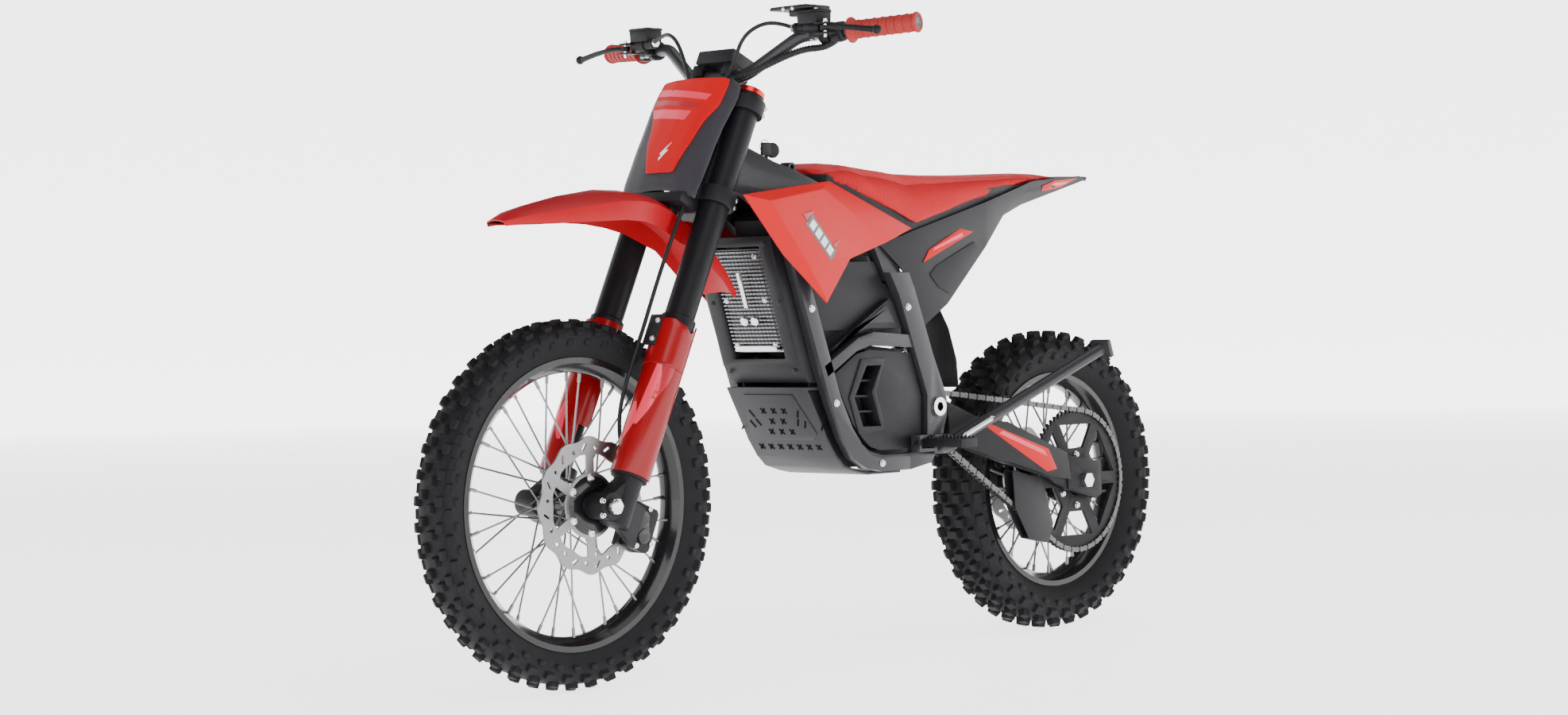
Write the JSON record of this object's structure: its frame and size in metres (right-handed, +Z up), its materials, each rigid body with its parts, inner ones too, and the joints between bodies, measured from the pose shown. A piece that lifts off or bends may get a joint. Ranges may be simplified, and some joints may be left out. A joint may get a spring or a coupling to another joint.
{
  "type": "electric dirt bike",
  "caption": "Full-size electric off-road motorcycle with steering fork, sprung swingarm, chain drive, padded seat, plastic shrouds, folding stand and pegs.",
  "frame": {"origin": "on the ground, at the middle of the overall length and width", "axes": "+X forward, +Y to the rider's left, +Z up"},
  "size_m": [1.8764, 0.7842, 1.1675],
  "materials": {
    "red_plastic": "gloss",
    "red_rubber": "matte",
    "seat_cover": "satin",
    "black_plastic": "satin",
    "frame_paint": "satin",
    "gloss_black": "gloss",
    "alloy": "satin",
    "bright_steel": "satin",
    "dark_steel": "satin",
    "tyre_rubber": "matte"
  },
  "bodies": {
    "frame": {"frame": "frame_paint", "head_bearings": "bright_steel", "battery": "black_plastic", "side_covers": "black_plastic", "motor": "frame_paint", "controller_cover": "black_plastic", "heat_sink": "alloy", "skid_plate": "black_plastic", "left_shroud": "red_plastic", "right_shroud": "red_plastic", "left_side_panel": "black_plastic", "right_side_panel": "black_plastic", "seat": "seat_cover", "mudflap": "black_plastic", "key_switch": "frame_paint", "frame_bolts": "bright_steel", "pivot_axle": "bright_steel"},
    "steering": {"lower_clamp": "frame_paint", "top_clamp": "frame_paint", "fork_tubes": "gloss_black", "handlebar": "frame_paint", "dash": "black_plastic", "number_plate": "black_plastic", "front_fender": "red_plastic", "master_cylinders": "black_plastic", "left_grip": "red_rubber", "front_brake_hose": "black_plastic", "bar_cables": "black_plastic"},
    "fork_lower": {"fork_sliders": "gloss_black", "fork_guards": "red_plastic", "front_axle": "bright_steel", "front_caliper": "frame_paint"},
    "front_wheel": {"front_tyre": "tyre_rubber", "front_rim": "gloss_black", "front_spokes": "bright_steel", "front_hub": "gloss_black", "front_disc": "bright_steel"},
    "left_lever": {"left_brake_lever": "frame_paint"},
    "right_lever": {"right_brake_lever": "frame_paint"},
    "throttle": {"throttle_grip": "red_rubber"},
    "key": {"key": "black_plastic"},
    "swingarm": {"swingarm": "frame_paint", "rear_axle": "bright_steel", "chain": "dark_steel", "chain_guide": "black_plastic", "rear_caliper": "frame_paint"},
    "rear_wheel": {"rear_tyre": "tyre_rubber", "rear_rim": "gloss_black", "rear_spokes": "bright_steel", "rear_hub": "gloss_black", "rear_sprocket": "dark_steel", "rear_disc": "bright_steel"},
    "drive": {"front_sprocket": "dark_steel"},
    "shock_upper": {"shock_body": "frame_paint", "shock_spring": "bright_steel"},
    "shock_lower": {"shock_rod": "bright_steel"},
    "stand": {"kickstand": "frame_paint", "kickstand_spring": "bright_steel"},
    "left_peg": {"left_peg": "frame_paint"},
    "right_peg": {"right_peg": "frame_paint"}
  },
  "joints": [
    {"name": "steer", "type": "hinge", "parent": "frame", "child": "steering", "pos_m": [0.28021, 0, 0.90623], "axis": [-0.4208, 0, 0.9071], "range_deg": [-40, 40], "deforming": ["bar_cables"]},
    {"name": "fork_travel", "type": "slide", "parent": "steering", "child": "fork_lower", "axis": [-0.4208, 0, 0.9071], "range_m": [0, 0.18], "stiffness_N_per_m": 4200, "springref_m": -0.1, "deforming": ["front_brake_hose"]},
    {"name": "front_wheel_spin", "type": "hinge", "parent": "fork_lower", "child": "front_wheel", "pos_m": [0.6227, 0, 0.3155], "axis": [0, 1, 0], "continuous": true},
    {"name": "left_lever_pull", "type": "hinge", "parent": "steering", "child": "left_lever", "pos_m": [0.23389, 0.25285, 1.1235], "axis": [0, 0, 1], "range_deg": [0, 16], "stiffness_Nm_per_rad": 1.2, "springref_deg": -22.92},
    {"name": "right_lever_pull", "type": "hinge", "parent": "steering", "child": "right_lever", "pos_m": [0.23389, -0.25285, 1.1235], "axis": [0, 0, -1], "range_deg": [0, 16], "stiffness_Nm_per_rad": 1.2, "springref_deg": -22.92},
    {"name": "throttle_twist", "type": "hinge", "parent": "steering", "child": "throttle", "pos_m": [0.16032, -0.32634, 1.1251], "axis": [-0.2721, -0.9611, 0.0483], "range_deg": [0, 70], "stiffness_Nm_per_rad": 0.4, "springref_deg": -28.65},
    {"name": "key_turn", "type": "hinge", "parent": "frame", "child": "key", "pos_m": [0.128, 0, 0.9], "axis": [0, 0, 1], "range_deg": [0, 90]},
    {"name": "swing", "type": "hinge", "parent": "frame", "child": "swingarm", "pos_m": [-0.19, 0, 0.455], "axis": [0, 1, 0], "range_deg": [0, 22], "stiffness_Nm_per_rad": 700, "springref_deg": -25.78},
    {"name": "rear_wheel_spin", "type": "hinge", "parent": "swingarm", "child": "rear_wheel", "pos_m": [-0.6429, 0, 0.2953], "axis": [0, 1, 0], "continuous": true},
    {"name": "drive_spin", "type": "hinge", "parent": "frame", "child": "drive", "pos_m": [-0.19, 0, 0.455], "axis": [0, 1, 0], "continuous": true},
    {"name": "shock_tilt", "type": "hinge", "parent": "frame", "child": "shock_upper", "pos_m": [-0.175, 0, 0.69], "axis": [0, 1, 0], "range_deg": [0, 2.83]},
    {"name": "shock_stroke", "type": "slide", "parent": "shock_upper", "child": "shock_lower", "axis": [0.4351, 0, 0.9004], "range_m": [0, 0.0367], "deforming": ["shock_spring"]},
    {"name": "stand_fold", "type": "hinge", "parent": "frame", "child": "stand", "pos_m": [-0.186, 0.15, 0.386], "axis": [0, -0.9373, -0.3486], "range_deg": [0, 76], "stiffness_Nm_per_rad": 2, "springref_deg": -34.38, "deforming": ["kickstand_spring"]},
    {"name": "left_peg_fold", "type": "hinge", "parent": "frame", "child": "left_peg", "pos_m": [-0.135, 0.139, 0.39], "axis": [1, 0, 0], "range_deg": [0, 70], "stiffness_Nm_per_rad": 1.5, "springref_deg": -28.65},
    {"name": "right_peg_fold", "type": "hinge", "parent": "frame", "child": "right_peg", "pos_m": [-0.135, -0.139, 0.39], "axis": [-1, 0, 0], "range_deg": [0, 70], "stiffness_Nm_per_rad": 1.5, "springref_deg": -28.65}
  ],
  "couplings": [
    {"joint": "drive_spin", "follows": "rear_wheel_spin", "ratio": 4.5333},
    {"joint": "shock_tilt", "follows": "swing", "ratio": 0.12398},
    {"joint": "shock_stroke", "follows": "swing", "m_per_rad": 0.09466}
  ]
}
